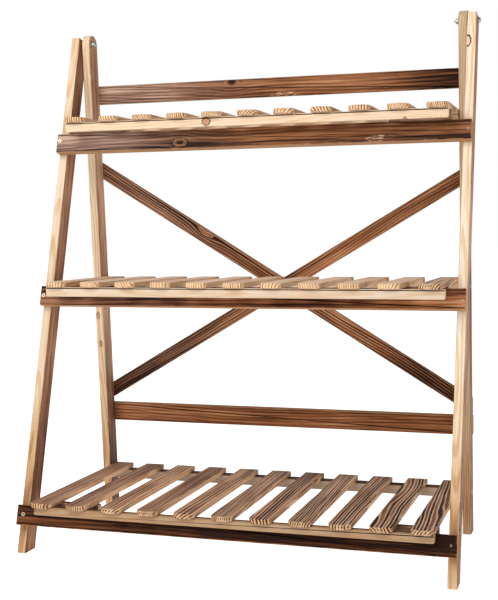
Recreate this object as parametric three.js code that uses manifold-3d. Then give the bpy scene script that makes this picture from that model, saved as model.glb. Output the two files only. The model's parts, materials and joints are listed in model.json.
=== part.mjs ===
// A folding three-tier plant stand in wood, modelled in millimetres with +Z up and the front towards -Y.
//
// Two ladders form an A: a front one that leans back and a rear one that leans forward, joined by a
// hinge bolt at the top of each side. Three slatted shelves turn on pivot pins in the rear legs and lie
// on the front rails. Each shelf has two cross battens under its slats: the front one hangs before the
// rail, the rear one carries the pins. Two short blocks under the slats lock the shelf to its rail.
import * as THREE from "three";
import { mergeVertices } from "three/addons/utils/BufferGeometryUtils.js";
import Module from "manifold-3d";

const wasm = await Module();
wasm.setup();

// ---------- driving dimensions ----------
const OVERALL_WIDTH = 930; // outer face to outer face of the front legs
const HINGE_HEIGHT = 1118; // hinge bolt's axis above the floor
const FRONT_LEAN = THREE.MathUtils.degToRad(15.3); // front ladder, from upright
const REAR_LEAN = THREE.MathUtils.degToRad(4.45); // rear ladder, from upright

const LEG_THICKNESS = 19; // across the stand
const LEG_DEPTH = 43; // front to back
const RAIL_THICKNESS = 19;
const RAIL_HEIGHT = 43;
const BRACE_THICKNESS = 12;
const BRACE_HEIGHT = 32;

const LEG_GAP = 1.5; // between a front leg and the rear leg beside it
const SEAT_GAP = 0.3; // between two pieces that touch
const TURNING_GAP = 0.3; // round a bolt or a pin in its hole

const FRONT_BOLT_DEPTH = 26; // from the front leg's front face to the bolt's axis
const REAR_BOLT_DEPTH = 16; // from the rear leg's front face to the bolt's axis
const FRONT_LEG_TOP = 8; // square top of the front leg, along it from the bolt

const FRONT_RAIL_HEIGHTS = { lower: 57, middle: 517, upper: 857 }; // lower back edge above the floor
const UPPER_BACK_RAIL_DROP = 135; // its lower front edge under the hinge bolt's axis
const BACK_RAIL_HEIGHTS = { lower: 219, upper: HINGE_HEIGHT - UPPER_BACK_RAIL_DROP }; // the same edge above the floor
// heights of the braces' centre lines where they leave the legs' inner faces
const BRACES = {
  brace_falling: { left: 825, right: 296, lapSide: 1 },
  brace_rising: { left: 297, right: 793, lapSide: -1 },
};

const SLAT_COUNT = 11;
const SLAT_WIDTH = 45;
const SLAT_THICKNESS = 11;
const SLAT_CROWN = 8; // rise of the round front end over its corners
const SLAT_OVERHANG = 4; // corners of the front end ahead of the front batten
const SIDE_GAP = 1.5; // between a shelf and the rear leg beside it

const BATTEN_HEIGHT = 20;
const FRONT_BATTEN_DEPTH = 12;
const FRONT_BATTEN_HEIGHTS = { lower: 16, middle: BATTEN_HEIGHT, upper: BATTEN_HEIGHT };
// how far each front batten runs on past the outer slats, or stops short of them
const FRONT_BATTEN_PAST_SLATS = {
  lower: { left: -6, right: 0 },
  middle: { left: 0, right: 8 },
  upper: { left: 0, right: 0 }, // it passes between the rear legs as the stand folds
};
const REAR_BATTEN_DEPTH = 30; // deep enough to hold the pins in its ends
const HOOK_GAPS = { lower: 6.3, middle: 46, upper: 32 }; // front batten's back face ahead of the rail's upper front edge
const BLOCK_LENGTH = 130;
const BLOCK_DEPTH = 16;
const LOCK_REACH = 36; // a locking block's front face behind the rail's upper front edge
const RAIL_SEAT = 0.5; // the top shelf's blocks stand on the rail, this far behind its front edge

const PIVOT_TO_BACK = 28.5; // pivot's axis to the plane of the rear legs' back faces
const PIVOT_DROP = 8; // pivot's axis under the slats
const REAR_OVERHANG = 19; // slats behind the pivot's axis
const BATTEN_BEHIND_PIVOT = 16; // rear batten's back face behind the pivot's axis
const PIN_RADIUS = 2.5;

const BOLT_RADIUS = 3;
const BOLT_HEAD_RADIUS = 6;
const BOLT_HEAD_HEIGHT = 4;
const WASHER_RADIUS = 8;
const WASHER_THICKNESS = 1.5;
const NUT_RADIUS = 5.8; // to its corners
const NUT_HEIGHT = 5;
const BOLT_END = 3; // thread past the nut
const BOLT_CHAMFER = 0.6; // at the thread's tip

// ---------- flats that stand for round stretches ----------
const HOLE_FLATS = 16; // half of a hole's
const SLAT_END_FLATS = 12;
const PIN_FLATS = 20;
const BOLT_FLATS = 24;
const BOLT_DOME_FLATS = 6;

// ---------- finishes ----------
const lightWood = new THREE.MeshStandardMaterial({ color: 0xdcb887, roughness: 0.7, metalness: 0 });
const torchedWood = new THREE.MeshStandardMaterial({ color: 0x5e3b28, roughness: 0.65, metalness: 0 });
const torchedSlat = new THREE.MeshStandardMaterial({ color: 0x7a543c, roughness: 0.65, metalness: 0 });
const zinc = new THREE.MeshStandardMaterial({ color: 0xb9bcc0, roughness: 0.35, metalness: 1 });

// ---------- shape helpers ----------
const mesh = (name, geometry, material) => {
  const made = new THREE.Mesh(geometry, material);
  made.name = name;
  return made;
};

// An outline in (y, z), carried along +X from x0 by a thickness.
const extrudeAlongX = (shape, x0, thickness) => {
  const geometry = new THREE.ExtrudeGeometry(shape, { depth: thickness, bevelEnabled: false, curveSegments: HOLE_FLATS });
  const basis = new THREE.Matrix4().makeBasis(
    new THREE.Vector3(0, 1, 0),
    new THREE.Vector3(0, 0, 1),
    new THREE.Vector3(1, 0, 0),
  );
  return geometry.applyMatrix4(basis).translate(x0, 0, 0);
};

// An outline in (x, z), carried along +Y from y0 by a thickness.
const extrudeAlongY = (shape, y0, thickness) => {
  const geometry = new THREE.ExtrudeGeometry(shape, { depth: thickness, bevelEnabled: false });
  const basis = new THREE.Matrix4().makeBasis(
    new THREE.Vector3(1, 0, 0),
    new THREE.Vector3(0, 0, 1),
    new THREE.Vector3(0, -1, 0),
  );
  return geometry.applyMatrix4(basis).translate(0, y0 + thickness, 0);
};

const board = (x0, x1, y0, y1, z0, z1) =>
  new THREE.BoxGeometry(x1 - x0, y1 - y0, z1 - z0).translate((x0 + x1) / 2, (y0 + y1) / 2, (z0 + z1) / 2);

const roundHole = (y, z, radius) => new THREE.Path().absarc(y, z, radius, 0, 2 * Math.PI, true);

const toSolid = (geometry) => {
  const bare = geometry.clone();
  bare.deleteAttribute("normal");
  bare.deleteAttribute("uv");
  const merged = mergeVertices(bare, 1e-4);
  return new wasm.Manifold(
    new wasm.Mesh({
      numProp: 3,
      vertProperties: new Float32Array(merged.attributes.position.array),
      triVerts: new Uint32Array(merged.index.array),
    }),
  );
};

const fromSolid = (solid) => {
  const made = solid.getMesh();
  const geometry = new THREE.BufferGeometry();
  geometry.setAttribute("position", new THREE.BufferAttribute(made.vertProperties, 3));
  geometry.setIndex(new THREE.BufferAttribute(made.triVerts, 1));
  const flat = geometry.toNonIndexed();
  flat.computeVertexNormals();
  return flat;
};

// ---------- places worked out from the dimensions ----------
const HALF_WIDTH = OVERALL_WIDTH / 2;
const FRONT_LEG_INNER = HALF_WIDTH - LEG_THICKNESS;
const REAR_LEG_OUTER = FRONT_LEG_INNER - LEG_GAP;
const REAR_LEG_INNER = REAR_LEG_OUTER - LEG_THICKNESS;
const SHELF_HALF_WIDTH = REAR_LEG_INNER - SIDE_GAP;

// Each ladder is modelled in its own frame: origin on the hinge axis, +z up along the legs, -y to the front.
const FRONT_FACE = -FRONT_BOLT_DEPTH;
const REAR_FACE = -REAR_BOLT_DEPTH;
const REAR_BACK = REAR_FACE + LEG_DEPTH;

// In a ladder's frame, the z at which the line y = offset reaches a height above the floor. The lean is
// positive where the ladder's feet stand forward of the hinge, and negative where they stand behind it.
const alongLeg = (height, offset, lean) => (height - HINGE_HEIGHT + offset * Math.sin(lean)) / Math.cos(lean);

// A point of a leaning ladder's frame, in the stand's own y and z.
const leaned = (y, z, lean) => ({
  y: y * Math.cos(lean) + z * Math.sin(lean),
  z: HINGE_HEIGHT - y * Math.sin(lean) + z * Math.cos(lean),
});

// ---------- front ladder ----------
const frontFrame = new THREE.Group();
frontFrame.position.set(0, 0, HINGE_HEIGHT);
frontFrame.rotation.x = -FRONT_LEAN;

const frontLegShape = () => {
  const back = FRONT_FACE + LEG_DEPTH;
  const shape = new THREE.Shape();
  shape.moveTo(FRONT_FACE, alongLeg(0, FRONT_FACE, FRONT_LEAN));
  shape.lineTo(back, alongLeg(0, back, FRONT_LEAN));
  shape.lineTo(back, FRONT_LEG_TOP);
  shape.lineTo(FRONT_FACE, FRONT_LEG_TOP);
  shape.closePath();
  shape.holes.push(roundHole(0, 0, BOLT_RADIUS + TURNING_GAP));
  return shape;
};

for (const [side, x0] of [["left", -HALF_WIDTH], ["right", FRONT_LEG_INNER]]) {
  frontFrame.add(mesh(`front_leg_${side}`, extrudeAlongX(frontLegShape(), x0, LEG_THICKNESS), lightWood));
}

const railBack = FRONT_FACE - SEAT_GAP;
const railFront = railBack - RAIL_THICKNESS;
const railEdges = {};
for (const [tier, height] of Object.entries(FRONT_RAIL_HEIGHTS)) {
  const z0 = alongLeg(height, FRONT_FACE, FRONT_LEAN);
  const rail = board(-HALF_WIDTH, HALF_WIDTH, railFront, railBack, z0, z0 + RAIL_HEIGHT);
  frontFrame.add(mesh(`front_rail_${tier}`, rail, torchedWood));
  railEdges[tier] = leaned(railFront, z0 + RAIL_HEIGHT, FRONT_LEAN); // the rail's upper front edge
}

// ---------- shelves ----------
// A shelf's frame has its origin on the pivot axis. The slats lie flat over it.
const placeOfShelf = (tier) => {
  const edge = railEdges[tier];
  const standsOnBlocks = tier === "upper";
  const underSlats = edge.z + SEAT_GAP + (standsOnBlocks ? BATTEN_HEIGHT + SEAT_GAP : 0);
  const z = underSlats - PIVOT_DROP;
  const pivotOffset = REAR_BACK - PIVOT_TO_BACK;
  const y = leaned(pivotOffset, alongLeg(z, pivotOffset, -REAR_LEAN), -REAR_LEAN).y;
  const blockFront = edge.y + (standsOnBlocks ? RAIL_SEAT : LOCK_REACH) - y;
  return { y, z, battenBack: edge.y - HOOK_GAPS[tier] - y, blockFront };
};

// A slat in plan: square behind, and a shallow arc in front between rounded corners.
const slatShape = (front, back) => {
  const half = SLAT_WIDTH / 2;
  const radius = (half * half + SLAT_CROWN * SLAT_CROWN) / (2 * SLAT_CROWN);
  const reach = Math.asin(half / radius);
  const centre = front - SLAT_CROWN + radius;
  const shape = new THREE.Shape();
  shape.moveTo(half, back);
  shape.lineTo(-half, back);
  shape.absarc(0, centre, radius, -Math.PI / 2 - reach, -Math.PI / 2 + reach, false);
  shape.closePath();
  return shape;
};

const pinLength = REAR_LEG_OUTER - SHELF_HALF_WIDTH;

// The rear batten with the two pivot pins that stand out of its ends.
const rearBatten = () => {
  const top = PIVOT_DROP - SEAT_GAP;
  const timber = board(
    -SHELF_HALF_WIDTH,
    SHELF_HALF_WIDTH,
    BATTEN_BEHIND_PIVOT - REAR_BATTEN_DEPTH,
    BATTEN_BEHIND_PIVOT,
    top - BATTEN_HEIGHT,
    top,
  );
  const rooted = pinLength + BATTEN_HEIGHT; // as deep in the end grain as the batten is high
  const pin = new THREE.CylinderGeometry(PIN_RADIUS, PIN_RADIUS, rooted, PIN_FLATS).rotateZ(Math.PI / 2);
  const reach = SHELF_HALF_WIDTH + pinLength - rooted / 2;
  return fromSolid(
    toSolid(timber)
      .add(toSolid(pin.clone().translate(reach, 0, 0)))
      .add(toSolid(pin.clone().translate(-reach, 0, 0))),
  );
};

const makeShelf = (tier) => {
  const place = placeOfShelf(tier);
  const shelf = new THREE.Group();
  shelf.position.set(0, place.y, place.z);

  const battenFront = place.battenBack - FRONT_BATTEN_DEPTH;
  const slatPitch = (2 * SHELF_HALF_WIDTH - SLAT_WIDTH) / (SLAT_COUNT - 1);
  const slat = new THREE.ExtrudeGeometry(slatShape(battenFront - SLAT_OVERHANG, REAR_OVERHANG), {
    depth: SLAT_THICKNESS,
    bevelEnabled: false,
    curveSegments: SLAT_END_FLATS,
  }).translate(0, 0, PIVOT_DROP);
  for (let i = 0; i < SLAT_COUNT; i++) {
    const x = -SHELF_HALF_WIDTH + SLAT_WIDTH / 2 + i * slatPitch;
    shelf.add(mesh(`slat_${tier}_${String(i + 1).padStart(2, "0")}`, slat.clone().translate(x, 0, 0), torchedSlat));
  }

  const top = PIVOT_DROP - SEAT_GAP;
  const pastSlats = FRONT_BATTEN_PAST_SLATS[tier];
  const front = board(
    -SHELF_HALF_WIDTH - pastSlats.left,
    SHELF_HALF_WIDTH + pastSlats.right,
    battenFront,
    place.battenBack,
    top - FRONT_BATTEN_HEIGHTS[tier],
    top,
  );
  shelf.add(mesh(`front_batten_${tier}`, front, lightWood));
  shelf.add(mesh(`rear_batten_${tier}`, rearBatten(), lightWood));

  for (const [side, x0] of [["left", -SHELF_HALF_WIDTH], ["right", SHELF_HALF_WIDTH - BLOCK_LENGTH]]) {
    const block = board(
      x0,
      x0 + BLOCK_LENGTH,
      place.blockFront,
      place.blockFront + BLOCK_DEPTH,
      top - BATTEN_HEIGHT,
      top,
    );
    shelf.add(mesh(`lock_block_${tier}_${side}`, block, torchedWood));
  }
  return { shelf, place };
};

const shelves = Object.keys(FRONT_RAIL_HEIGHTS).map((tier) => makeShelf(tier));

// ---------- rear ladder ----------
const rearFrame = new THREE.Group();
rearFrame.position.set(0, 0, HINGE_HEIGHT);
rearFrame.rotation.x = REAR_LEAN;

const rearLegShape = () => {
  const centre = REAR_FACE + LEG_DEPTH / 2;
  const shape = new THREE.Shape();
  shape.moveTo(REAR_FACE, alongLeg(0, REAR_FACE, -REAR_LEAN));
  shape.lineTo(REAR_BACK, alongLeg(0, REAR_BACK, -REAR_LEAN));
  shape.lineTo(REAR_BACK, 0);
  shape.absarc(centre, 0, LEG_DEPTH / 2, 0, Math.PI, false); // the round top, level with the bolt
  shape.closePath();
  shape.holes.push(roundHole(0, 0, BOLT_RADIUS + TURNING_GAP));
  for (const { place } of shelves) {
    const y = REAR_BACK - PIVOT_TO_BACK;
    shape.holes.push(roundHole(y, alongLeg(place.z, y, -REAR_LEAN), PIN_RADIUS + TURNING_GAP));
  }
  return shape;
};

for (const [side, x0] of [["left", -REAR_LEG_OUTER], ["right", REAR_LEG_INNER]]) {
  rearFrame.add(mesh(`rear_leg_${side}`, extrudeAlongX(rearLegShape(), x0, LEG_THICKNESS), lightWood));
}

const backSeat = REAR_BACK + SEAT_GAP;
for (const [tier, height] of Object.entries(BACK_RAIL_HEIGHTS)) {
  const z0 = alongLeg(height, REAR_BACK, -REAR_LEAN);
  const rail = board(
    -REAR_LEG_OUTER,
    REAR_LEG_OUTER,
    backSeat,
    backSeat + RAIL_THICKNESS,
    z0,
    z0 + RAIL_HEIGHT,
  );
  rearFrame.add(mesh(`back_rail_${tier}`, rail, torchedWood));
}

// A brace in (x, z) of the rear ladder's frame, grown on every side by a margin.
const braceShape = ({ left, right }, margin) => {
  const zLeft = alongLeg(left, REAR_BACK, -REAR_LEAN);
  const zRight = alongLeg(right, REAR_BACK, -REAR_LEAN);
  const slope = (zRight - zLeft) / (2 * REAR_LEG_INNER);
  const half = (BRACE_HEIGHT / 2 + margin) * Math.hypot(1, slope); // measured upright
  const end = REAR_LEG_OUTER + margin;
  const middle = (zLeft + zRight) / 2;
  const shape = new THREE.Shape();
  shape.moveTo(-end, middle - slope * end - half);
  shape.lineTo(end, middle + slope * end - half);
  shape.lineTo(end, middle + slope * end + half);
  shape.lineTo(-end, middle - slope * end + half);
  shape.closePath();
  return shape;
};

// The two braces are halved into each other where they cross: one loses its back half, the other its front half.
const braceNames = Object.keys(BRACES);
braceNames.forEach((name, i) => {
  const own = BRACES[name];
  const other = BRACES[braceNames[1 - i]];
  const timber = extrudeAlongY(braceShape(own, 0), backSeat, BRACE_THICKNESS);
  const halfWay = backSeat + BRACE_THICKNESS / 2;
  const depth = BRACE_THICKNESS / 2 + SEAT_GAP;
  const notchStart = own.lapSide > 0 ? halfWay - SEAT_GAP / 2 : halfWay + SEAT_GAP / 2 - depth;
  const notch = extrudeAlongY(braceShape(other, SEAT_GAP), notchStart, depth);
  const halved = toSolid(timber).subtract(toSolid(notch));
  rearFrame.add(mesh(name, fromSolid(halved), torchedWood));
});

// ---------- hinge bolts and nuts ----------
// Each is turned about the hinge axis, from the outside of the stand inwards along its own +Y.
const boltProfile = () => {
  const under = WASHER_THICKNESS;
  const head = under + BOLT_HEAD_HEIGHT;
  const gripped = 2 * LEG_THICKNESS + LEG_GAP + 2 * SEAT_GAP + WASHER_THICKNESS + NUT_HEIGHT;
  const tip = -(gripped + BOLT_END);
  const points = [[0, tip], [BOLT_RADIUS - BOLT_CHAMFER, tip], [BOLT_RADIUS, tip + BOLT_CHAMFER], [BOLT_RADIUS, 0]];
  points.push([WASHER_RADIUS, 0], [WASHER_RADIUS, under], [BOLT_HEAD_RADIUS, under]);
  for (let i = 1; i <= BOLT_DOME_FLATS; i++) {
    const turn = (i / BOLT_DOME_FLATS) * (Math.PI / 2);
    const x = i === BOLT_DOME_FLATS ? 0 : BOLT_HEAD_RADIUS * Math.cos(turn);
    points.push([x, under + (head - under) * Math.sin(turn)]);
  }
  return points.map(([x, y]) => new THREE.Vector2(x, y));
};

const nutGeometry = () => {
  const hexagon = new THREE.Shape();
  for (let i = 0; i < 6; i++) {
    const turn = (i * Math.PI) / 3;
    const x = NUT_RADIUS * Math.cos(turn);
    const y = NUT_RADIUS * Math.sin(turn);
    if (i === 0) hexagon.moveTo(x, y);
    else hexagon.lineTo(x, y);
  }
  hexagon.closePath();
  const disc = new THREE.Shape().absarc(0, 0, WASHER_RADIUS, 0, 2 * Math.PI, false);
  const drilled = (shape, depth) => {
    shape.holes.push(roundHole(0, 0, BOLT_RADIUS + TURNING_GAP));
    return new THREE.ExtrudeGeometry(shape, { depth, bevelEnabled: false, curveSegments: HOLE_FLATS });
  };
  const washer = toSolid(drilled(disc, WASHER_THICKNESS));
  const nut = toSolid(drilled(hexagon, WASHER_THICKNESS + NUT_HEIGHT));
  return fromSolid(washer.add(nut));
};

for (const [side, sign] of [["left", -1], ["right", 1]]) {
  const bolt = mesh(`hinge_bolt_${side}`, new THREE.LatheGeometry(boltProfile(), BOLT_FLATS), zinc);
  bolt.rotation.z = (-sign * Math.PI) / 2;
  bolt.position.set(sign * (HALF_WIDTH + SEAT_GAP), 0, 0);
  const nut = mesh(`hinge_nut_${side}`, nutGeometry(), zinc);
  nut.rotation.y = (-sign * Math.PI) / 2;
  nut.position.set(sign * (REAR_LEG_INNER - SEAT_GAP), 0, 0);
  rearFrame.add(bolt, nut);
}

// ---------- the whole stand, with its origin at the middle of its footprint on the floor ----------
const stand = new THREE.Group();
stand.add(rearFrame, frontFrame, ...shelves.map(({ shelf }) => shelf));
stand.updateMatrixWorld(true);
const extent = new THREE.Box3().setFromObject(stand, true);
for (const part of stand.children) {
  part.position.y -= (extent.min.y + extent.max.y) / 2;
  part.position.z -= extent.min.z;
}

export default stand;
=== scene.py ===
import json
import math

import bpy
import numpy as np
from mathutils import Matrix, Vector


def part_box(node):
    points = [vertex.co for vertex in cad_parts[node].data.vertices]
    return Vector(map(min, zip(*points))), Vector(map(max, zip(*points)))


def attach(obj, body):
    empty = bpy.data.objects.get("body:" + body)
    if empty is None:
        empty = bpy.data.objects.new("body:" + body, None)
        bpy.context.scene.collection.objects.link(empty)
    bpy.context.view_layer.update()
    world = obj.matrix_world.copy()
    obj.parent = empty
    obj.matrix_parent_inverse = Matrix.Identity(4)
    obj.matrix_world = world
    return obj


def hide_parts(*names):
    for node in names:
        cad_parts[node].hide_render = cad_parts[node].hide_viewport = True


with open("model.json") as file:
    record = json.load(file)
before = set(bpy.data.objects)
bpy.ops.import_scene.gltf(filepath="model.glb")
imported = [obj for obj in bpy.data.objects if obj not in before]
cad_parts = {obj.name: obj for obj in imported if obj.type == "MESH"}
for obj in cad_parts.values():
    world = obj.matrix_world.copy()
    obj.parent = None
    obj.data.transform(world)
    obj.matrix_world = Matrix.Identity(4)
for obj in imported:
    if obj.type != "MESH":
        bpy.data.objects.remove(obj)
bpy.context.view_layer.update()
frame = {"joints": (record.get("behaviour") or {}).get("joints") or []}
hinge_y, hinge_z = frame["joints"][0]["pos_m"][1:]

# ---------- camera ----------
# The eye stands a little right of the stand's right side, about 2.4 m before it and at half its height, and
# looks past its left side a little downwards, held almost level.
eye = np.array([0.73769, -2.34844, 0.67900])
turn, tilt, roll = 0.30776, -0.05985, -0.00990
focal_pixels, image_height = 1142.9, 600
sensor_height = 36
ahead = np.array([-math.sin(turn) * math.cos(tilt), math.cos(turn) * math.cos(tilt), math.sin(tilt)])
level = np.array([math.cos(turn), math.sin(turn), 0.0])
above = np.cross(level, ahead)
right = level * math.cos(roll) + above * math.sin(roll)
up = above * math.cos(roll) - level * math.sin(roll)
lens = bpy.data.cameras.new("camera")
lens.sensor_width = sensor_height
lens.lens = sensor_height * focal_pixels / image_height
camera = bpy.data.objects.new("camera", lens)
bpy.context.scene.collection.objects.link(camera)
for row in range(3):
    for column, axis in enumerate((right, up, -ahead)):
        camera.matrix_world[row][column] = axis[row]
    camera.matrix_world[row][3] = eye[row]
bpy.context.scene.camera = camera

# ---------- rear legs ----------
# Two planed pine boards, 19 by 43 mm, with a level cut foot and a round top, bored for the hinge bolt. Their
# wide faces were singed with a torch and brushed, their narrow ones are planed back to the pale wood.
REAR_LEAN = -math.radians(4.45)
LEG_THICKNESS, LEG_DEPTH = 0.019, 0.043
LEG_MIDDLE = -0.56  # half way down a leg, where the burning is reckoned from
REAR_LEG_FRONT = -0.016
REAR_LEG_BACK = REAR_LEG_FRONT + LEG_DEPTH
REAR_LEG_OUTER = 0.4445
# what a board without knots, flakes or a band is given: a place far off it, and no darkening
NO_KNOT, NO_FLAKES, NO_BAND = (9, 9, 0.001), (9, 9, 0.01), (0, 0, 1)


def leaning(lean):
    """Ladder's own x, y, z (origin on the hinge bolt, z up along the legs) to the stand's: a turn about X by
    the lean."""
    c, s = math.cos(lean), math.sin(lean)
    return lambda x, y, z: np.stack([x, hinge_y + y * c + z * s, hinge_z - y * s + z * c], -1)


def up_ladder(height, y, lean):
    """Ladder's own z of the point at that height over the floor on the line at that depth: the height below
    the hinge, corrected for the line's depth times the sine of the lean, over the cosine of the lean."""
    return (height - hinge_z + y * math.sin(lean)) / math.cos(lean)


def rounded(corners, radius, steps=4):
    """A polygon (anticlockwise) with each corner drawn as an arc: the arc's centre lies on the corner's
    bisector, and its ends are where the circle touches the two sides. Long sides get points about 60 mm
    apart."""
    corners = np.asarray(corners, float)
    radius = np.broadcast_to(radius, len(corners))
    before, after = np.roll(corners, 1, 0), np.roll(corners, -1, 0)
    inward = (before - corners) / np.linalg.norm(before - corners, axis=1)[:, None]
    outward = (after - corners) / np.linalg.norm(after - corners, axis=1)[:, None]
    half = np.arccos(np.clip((inward * outward).sum(1), -1, 1)) / 2
    bisector = inward + outward
    bisector /= np.linalg.norm(bisector, axis=1)[:, None]
    centres = corners + bisector * (radius / np.sin(half))[:, None]
    first = corners + inward * (radius / np.tan(half))[:, None] - centres
    last = corners + outward * (radius / np.tan(half))[:, None] - centres
    share = np.linspace(0, 1, steps + 1)[None, :, None]
    sweep = (math.pi - 2 * half)[:, None, None]
    arcs = np.sin((1 - share) * sweep) * first[:, None] + np.sin(share * sweep) * last[:, None]
    arcs = arcs / np.sin(sweep) + centres[:, None]
    spacing, edge_point = 0.06, 0.0015
    runs = []
    for k in range(len(corners)):
        start, end = arcs[k, -1], arcs[(k + 1) % len(corners), 0]
        length = np.linalg.norm(end - start)
        pieces = max(2, int(round(length / spacing)))
        between = start + (end - start) * np.linspace(0, 1, pieces + 1)[1:-1, None]
        near = (end - start) / length * min(edge_point, length / 5)
        runs += [arcs[k], [start + near], between, [end - near]]
    return np.concatenate(runs)


def rings_joined(rings, count):
    """Quads between each ring of points and the next one, every point joined to its neighbour round the
    ring."""
    lower = np.arange(rings - 1)[:, None] * count + np.arange(count)[None]
    beside = np.roll(lower, -1, 1)
    return np.stack([lower, beside, beside + count, lower + count], -1).reshape(-1, 4)


def end_caps(rings, count):
    """The two faces that close a stack of rings: the first ring, turned round, and the last one."""
    return [np.arange(count)[::-1].tolist(), (np.arange(count) + (rings - 1) * count).tolist()]


def closed_piece(name, co, rings, attributes):
    """A mesh of walls (smooth) and two flat caps, its faces turned outwards: where the sum of the faces'
    normals times their places from the middle is negative, every face is turned round. Attributes are kept on
    its points."""
    count = len(co) // rings
    walls, caps = rings_joined(rings, count), end_caps(rings, count)
    faces = walls.tolist() + caps
    a, b, c, d = (co[walls[:, k]] for k in range(4))
    if (np.cross(c - a, d - b) * ((a + c) / 2 - co.mean(0))).sum() < 0:
        faces = [face[::-1] for face in faces]
    made = bpy.data.meshes.new(name)
    made.from_pydata(co, [], faces)
    made.polygons.foreach_set("use_smooth", [True] * len(walls) + [False] * len(caps))
    made.set_sharp_from_angle(angle=math.radians(40))
    for key, values in attributes.items():
        values = np.ascontiguousarray(np.broadcast_to(values, co.shape), np.float32)
        made.attributes.new(key, "FLOAT_VECTOR", "POINT").data.foreach_set("vector", values.ravel())
    made.update()
    piece = bpy.data.objects.new(name, made)
    bpy.context.scene.collection.objects.link(piece)
    return piece


def growth(seed, rings, burn, tint, knots=(), heart=None, ring_width=None, band=NO_BAND,
           flakes=NO_FLAKES):
    """What sets one board's timber apart from the next: where the log's heart ran beside it, how wide its
    rings are and how dark, how far it was burnt at its left end, middle and right end, its shade, warmth and
    greying (smoke all over where positive, a painted sheen at the left end where negative), its knots, a band
    darkened more (by how much, and the places across where it sets in and is full; on the lower and middle
    front rails a painted shadow under the battens) and the place and reach of pale flakes."""
    draw = np.random.default_rng(int(seed * 10))
    offset, depth, drift = draw.uniform(-0.030, 0.030), draw.uniform(0.010, 0.045), draw.uniform(-0.03, 0.03)
    width = draw.uniform(0.0036, 0.0054)
    knot_a, knot_b = (list(knots) + [NO_KNOT] * 2)[:2]
    return {
        "board": (seed * 1.37, rings, ring_width or width),
        "heart": heart or (offset, depth, drift),
        "burn": burn,
        "tint": tint,
        "knot_a": knot_a,
        "knot_b": knot_b,
        "band": band,
        "flakes": flakes,
    }


def board(name, outline, thickness, to_stand, ends, centre, arris=0.0014, edges=0.0, faces_planed=False,
          **grown):
    """A board: its outline (anticlockwise, metres) carried across its thickness. Ring by ring the outline
    steps inwards by r(1 - sin a) while it rises by r(1 - cos a), which rounds the arrises; flat faces close
    both sides. arris is r, or an r for every outline point of the lower and of the upper arris. ends(points)
    says which outline points lie on a sawn end. Kept on every point: grain (along, across, through the board)
    and face (singed, end grain, worn arris), beside what growth() gives."""
    outline = np.asarray(outline, float)
    count = len(outline)
    step = np.roll(outline, -1, 0) - outline
    normal = np.stack([step[:, 1], -step[:, 0]], 1) / np.linalg.norm(step, axis=1)[:, None]
    miter = normal + np.roll(normal, 1, 0)
    miter /= (miter * normal).sum(1)[:, None]

    # one arris: a ring inside the flat face, five round the arris and one on the wall
    turn_in = np.radians([0, 22.5, 45, 67.5, 90])[:, None]
    face_margin, wall_margin = 0.0022, 0.0012
    lower, upper = np.broadcast_to(arris, (2, count))
    inset = [np.concatenate([[r + face_margin], r * (1 - np.sin(turn_in)), [r * 0]]) for r in (lower, upper)]
    rise = [np.concatenate([[r * 0], r * (1 - np.cos(turn_in)), [r + wall_margin]]) for r in (lower, upper)]
    singed = np.maximum([1, 1, 1, 0.7, 0.3, 0, 0], edges) * (not faces_planed)
    worn = np.array([0, 0.55, 1, 1, 1, 0.55, 0])

    inset = np.concatenate([inset[0], inset[1][::-1]])
    depth = np.concatenate([rise[0], thickness - rise[1][::-1]])
    singed, worn = (np.concatenate([half, half[::-1]])[:, None] for half in (singed, worn))
    flat = outline[None] - miter[None] * inset[..., None]
    co = to_stand(flat[..., 0], flat[..., 1], depth).reshape(-1, 3)
    grain = np.stack([flat[..., 0] - centre[0], flat[..., 1] - centre[1], depth], -1)
    skin = 0.0006
    sawn = ends(outline)[None] * (np.minimum(depth, thickness - depth) > skin)
    face = np.stack([np.broadcast_to(part, depth.shape) for part in (singed, sawn, worn)], -1)
    kept = {"grain": grain.reshape(-1, 3), "face": face.reshape(-1, 3), **growth(**grown)}
    return closed_piece(name, co, len(depth), kept)


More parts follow.
